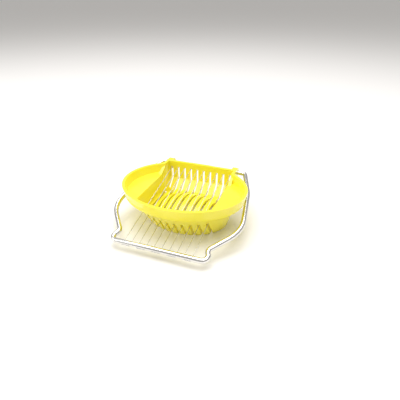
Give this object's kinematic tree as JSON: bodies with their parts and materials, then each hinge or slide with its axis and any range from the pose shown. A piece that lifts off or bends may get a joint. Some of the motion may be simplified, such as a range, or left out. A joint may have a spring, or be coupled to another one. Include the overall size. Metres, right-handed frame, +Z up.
{
  "type": "egg slicer",
  "caption": "Hand egg slicer: oval plastic base with a slotted egg cradle and a hinged wire harp, lying closed and upside down",
  "frame": {"origin": "under the middle of the whole, on the surface it lies on", "axes": "X along the hinge, Y towards the hinge, Z up"},
  "size_m": [0.0902, 0.085, 0.0282],
  "materials": {
    "plastic": "gloss",
    "rod": "polished",
    "wire": "bright"
  },
  "bodies": {
    "base": {"base": "plastic", "hinge_ear_left": "plastic", "hinge_ear_right": "plastic"},
    "harp": {"harp_frame": "rod", "rear_bar": "rod", "cutting_wire_01": "wire", "cutting_wire_02": "wire", "cutting_wire_03": "wire", "cutting_wire_04": "wire", "cutting_wire_05": "wire", "cutting_wire_06": "wire", "cutting_wire_07": "wire", "cutting_wire_08": "wire", "cutting_wire_09": "wire", "cutting_wire_10": "wire", "front_lacing": "wire", "rear_lacing": "wire"}
  },
  "joints": [
    {"name": "harp_hinge", "type": "hinge", "parent": "base", "child": "harp", "pos_m": [0, 0.03894, 0.0244], "axis": [1, 0, 0], "range_deg": [-1, 150]}
  ]
}
